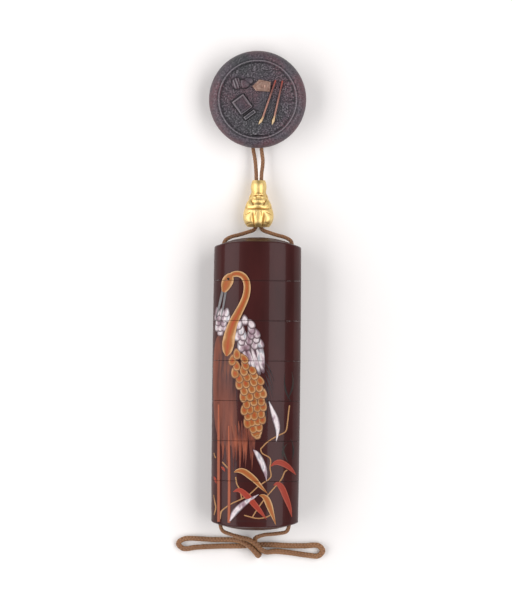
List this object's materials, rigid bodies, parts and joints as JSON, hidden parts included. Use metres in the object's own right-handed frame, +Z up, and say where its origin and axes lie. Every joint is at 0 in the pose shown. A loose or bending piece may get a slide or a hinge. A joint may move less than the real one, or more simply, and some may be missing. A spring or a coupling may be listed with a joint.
{
  "type": "inro case",
  "caption": "Lacquered inro: a flat oval case of stacked compartments on a braided cord, with a gilt sliding bead, a round carved toggle and a bow below.",
  "frame": {"origin": "on the flat of the case's back, at the middle of its length and width", "axes": "+X to the right of the picture side, +Y along the case towards the toggle, +Z up out of the picture side"},
  "size_m": [0.0565, 0.1928, 0.0217],
  "materials": {
    "lacquer": "gloss lacquer over wood",
    "gold_lacquer": "raised gold lacquer",
    "shell": "mother-of-pearl inlay",
    "red_lacquer": "raised red lacquer",
    "gilt": "gilt, soft shine",
    "carved_disc": "dark carved and stippled",
    "copper": "copper inlay",
    "cord": "braided silk"
  },
  "bodies": {
    "root": {"lid": "lacquer", "case_1": "lacquer", "case_2": "lacquer", "case_3": "lacquer", "case_4": "lacquer", "case_5": "lacquer", "base_case": "lacquer", "ojime": "gilt", "netsuke": "carved_disc", "plaque": "copper", "brush_left": "copper", "brush_right": "copper", "cord": "cord"}
  },
  "joints": []
}
